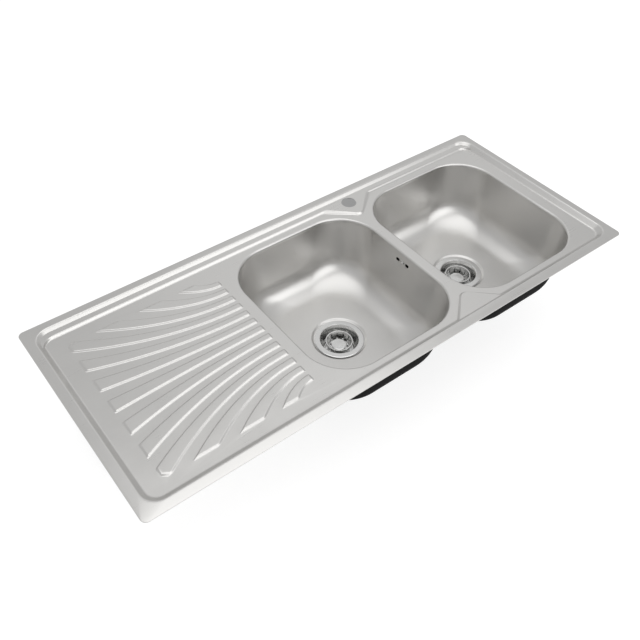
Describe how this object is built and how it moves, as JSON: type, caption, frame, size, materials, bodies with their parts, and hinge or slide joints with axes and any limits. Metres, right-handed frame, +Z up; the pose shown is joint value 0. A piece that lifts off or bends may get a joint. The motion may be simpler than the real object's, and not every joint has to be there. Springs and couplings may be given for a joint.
{
  "type": "double bowl kitchen sink with drainer",
  "caption": "Inset stainless steel kitchen sink with two deep bowls, a drainer with ribs that fan out to the left, a tap ledge and basket strainer wastes.",
  "frame": {"origin": "middle of the rim, in the plane of the worktop that the rim lies on", "axes": "+X to the right along the sink with the drainer on the left, +Y to the back where the tap ledge is, +Z up"},
  "size_m": [1.2, 0.5, 0.262],
  "materials": {
    "deck_steel": "satin",
    "bowl_steel": "satin",
    "polished_steel": "polished",
    "screw_steel": "plain",
    "clip_steel": "galvanised",
    "sound_coat": "matt black",
    "gasket_rubber": "matt",
    "seal_foam": "foam",
    "white_plastic": "satin",
    "black_plastic": "satin"
  },
  "bodies": {
    "sink": {"sink_deck": "deck_steel", "left_bowl": "bowl_steel", "right_bowl": "bowl_steel", "left_bowl_coat": "sound_coat", "right_bowl_coat": "sound_coat", "overflow_gasket": "gasket_rubber", "overflow_housing": "black_plastic", "overflow_screw": "screw_steel", "left_flange_gasket": "gasket_rubber", "left_strainer_cup": "polished_steel", "left_lower_gasket": "gasket_rubber", "left_waste_body": "white_plastic", "left_waste_screw": "screw_steel", "right_flange_gasket": "gasket_rubber", "right_strainer_cup": "polished_steel", "right_lower_gasket": "gasket_rubber", "right_waste_body": "white_plastic", "right_waste_screw": "screw_steel", "rim_seal": "seal_foam", "front_clip_1_bracket": "clip_steel", "front_clip_2_bracket": "clip_steel", "front_clip_3_bracket": "clip_steel", "front_clip_4_bracket": "clip_steel", "back_clip_1_bracket": "clip_steel", "back_clip_2_bracket": "clip_steel", "back_clip_3_bracket": "clip_steel", "back_clip_4_bracket": "clip_steel"},
    "left_basket_unit": {"left_basket": "polished_steel", "left_basket_seal": "gasket_rubber", "left_basket_knob": "polished_steel"},
    "right_basket_unit": {"right_basket": "polished_steel", "right_basket_seal": "gasket_rubber", "right_basket_knob": "polished_steel"},
    "front_clip_1_screw_body": {"front_clip_1_screw": "clip_steel"},
    "front_clip_1_claw_body": {"front_clip_1_claw": "clip_steel"},
    "front_clip_2_screw_body": {"front_clip_2_screw": "clip_steel"},
    "front_clip_2_claw_body": {"front_clip_2_claw": "clip_steel"},
    "front_clip_3_screw_body": {"front_clip_3_screw": "clip_steel"},
    "front_clip_3_claw_body": {"front_clip_3_claw": "clip_steel"},
    "front_clip_4_screw_body": {"front_clip_4_screw": "clip_steel"},
    "front_clip_4_claw_body": {"front_clip_4_claw": "clip_steel"},
    "back_clip_1_screw_body": {"back_clip_1_screw": "clip_steel"},
    "back_clip_1_claw_body": {"back_clip_1_claw": "clip_steel"},
    "back_clip_2_screw_body": {"back_clip_2_screw": "clip_steel"},
    "back_clip_2_claw_body": {"back_clip_2_claw": "clip_steel"},
    "back_clip_3_screw_body": {"back_clip_3_screw": "clip_steel"},
    "back_clip_3_claw_body": {"back_clip_3_claw": "clip_steel"},
    "back_clip_4_screw_body": {"back_clip_4_screw": "clip_steel"},
    "back_clip_4_claw_body": {"back_clip_4_claw": "clip_steel"}
  },
  "joints": [
    {"name": "left_basket_lift", "type": "slide", "parent": "sink", "child": "left_basket_unit", "axis": [0, 0, 1], "range_m": [0, 0.2]},
    {"name": "right_basket_lift", "type": "slide", "parent": "sink", "child": "right_basket_unit", "axis": [0, 0, 1], "range_m": [0, 0.2]},
    {"name": "front_clip_1_screw_travel", "type": "slide", "parent": "sink", "child": "front_clip_1_screw_body", "axis": [0, 0, 1], "range_m": [0, 0.01]},
    {"name": "front_clip_1_claw_swing", "type": "hinge", "parent": "front_clip_1_screw_body", "child": "front_clip_1_claw_body", "pos_m": [-0.5, -0.216, -0.044], "axis": [0, 0, 1], "range_deg": [-90, 0]},
    {"name": "front_clip_2_screw_travel", "type": "slide", "parent": "sink", "child": "front_clip_2_screw_body", "axis": [0, 0, 1], "range_m": [0, 0.01]},
    {"name": "front_clip_2_claw_swing", "type": "hinge", "parent": "front_clip_2_screw_body", "child": "front_clip_2_claw_body", "pos_m": [-0.215, -0.216, -0.044], "axis": [0, 0, 1], "range_deg": [-90, 0]},
    {"name": "front_clip_3_screw_travel", "type": "slide", "parent": "sink", "child": "front_clip_3_screw_body", "axis": [0, 0, 1], "range_m": [0, 0.01]},
    {"name": "front_clip_3_claw_swing", "type": "hinge", "parent": "front_clip_3_screw_body", "child": "front_clip_3_claw_body", "pos_m": [0.178, -0.216, -0.044], "axis": [0, 0, 1], "range_deg": [-90, 0]},
    {"name": "front_clip_4_screw_travel", "type": "slide", "parent": "sink", "child": "front_clip_4_screw_body", "axis": [0, 0, 1], "range_m": [0, 0.01]},
    {"name": "front_clip_4_claw_swing", "type": "hinge", "parent": "front_clip_4_screw_body", "child": "front_clip_4_claw_body", "pos_m": [0.552, -0.216, -0.044], "axis": [0, 0, 1], "range_deg": [-90, 0]},
    {"name": "back_clip_1_screw_travel", "type": "slide", "parent": "sink", "child": "back_clip_1_screw_body", "axis": [0, 0, 1], "range_m": [0, 0.01]},
    {"name": "back_clip_1_claw_swing", "type": "hinge", "parent": "back_clip_1_screw_body", "child": "back_clip_1_claw_body", "pos_m": [-0.5, 0.229, -0.044], "axis": [0, 0, 1], "range_deg": [-90, 0]},
    {"name": "back_clip_2_screw_travel", "type": "slide", "parent": "sink", "child": "back_clip_2_screw_body", "axis": [0, 0, 1], "range_m": [0, 0.01]},
    {"name": "back_clip_2_claw_swing", "type": "hinge", "parent": "back_clip_2_screw_body", "child": "back_clip_2_claw_body", "pos_m": [-0.215, 0.229, -0.044], "axis": [0, 0, 1], "range_deg": [-90, 0]},
    {"name": "back_clip_3_screw_travel", "type": "slide", "parent": "sink", "child": "back_clip_3_screw_body", "axis": [0, 0, 1], "range_m": [0, 0.01]},
    {"name": "back_clip_3_claw_swing", "type": "hinge", "parent": "back_clip_3_screw_body", "child": "back_clip_3_claw_body", "pos_m": [0.08, 0.229, -0.044], "axis": [0, 0, 1], "range_deg": [-90, 0]},
    {"name": "back_clip_4_screw_travel", "type": "slide", "parent": "sink", "child": "back_clip_4_screw_body", "axis": [0, 0, 1], "range_m": [0, 0.01]},
    {"name": "back_clip_4_claw_swing", "type": "hinge", "parent": "back_clip_4_screw_body", "child": "back_clip_4_claw_body", "pos_m": [0.552, 0.229, -0.044], "axis": [0, 0, 1], "range_deg": [-90, 0]}
  ]
}
